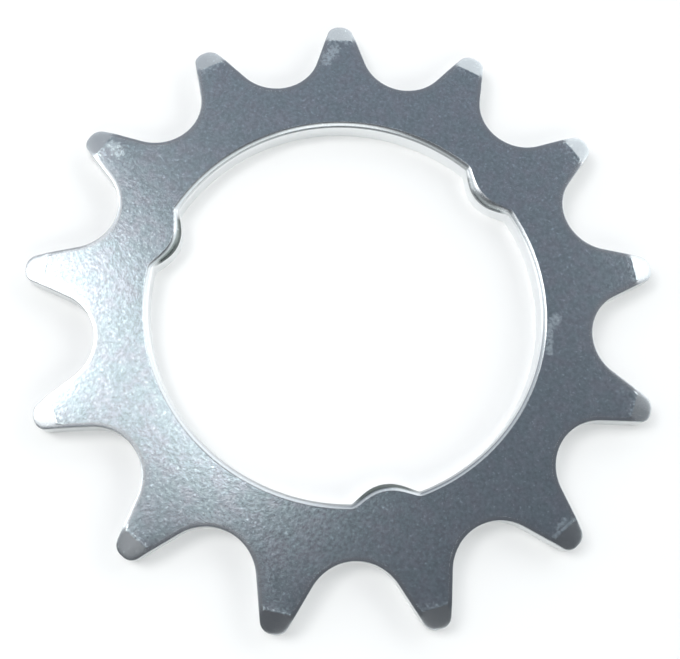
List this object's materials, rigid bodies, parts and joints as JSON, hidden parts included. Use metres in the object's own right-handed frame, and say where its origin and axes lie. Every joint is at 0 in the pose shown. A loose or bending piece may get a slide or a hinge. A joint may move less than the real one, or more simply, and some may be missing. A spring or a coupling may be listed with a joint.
{
  "type": "hub gear sprocket",
  "caption": "Flat stamped steel chain sprocket for a bicycle hub gear, with half-round drive lugs in its bore.",
  "frame": {"origin": "on the bore axis, in the plane of the rear face", "axes": "+Z along the bore axis towards the front face, +X through the middle of one tooth"},
  "size_m": [0.0574, 0.0578, 0.002],
  "materials": {
    "zinc_plate": "satin zinc plating on stamped steel"
  },
  "bodies": {
    "root": {"sprocket": "zinc_plate"}
  },
  "joints": []
}
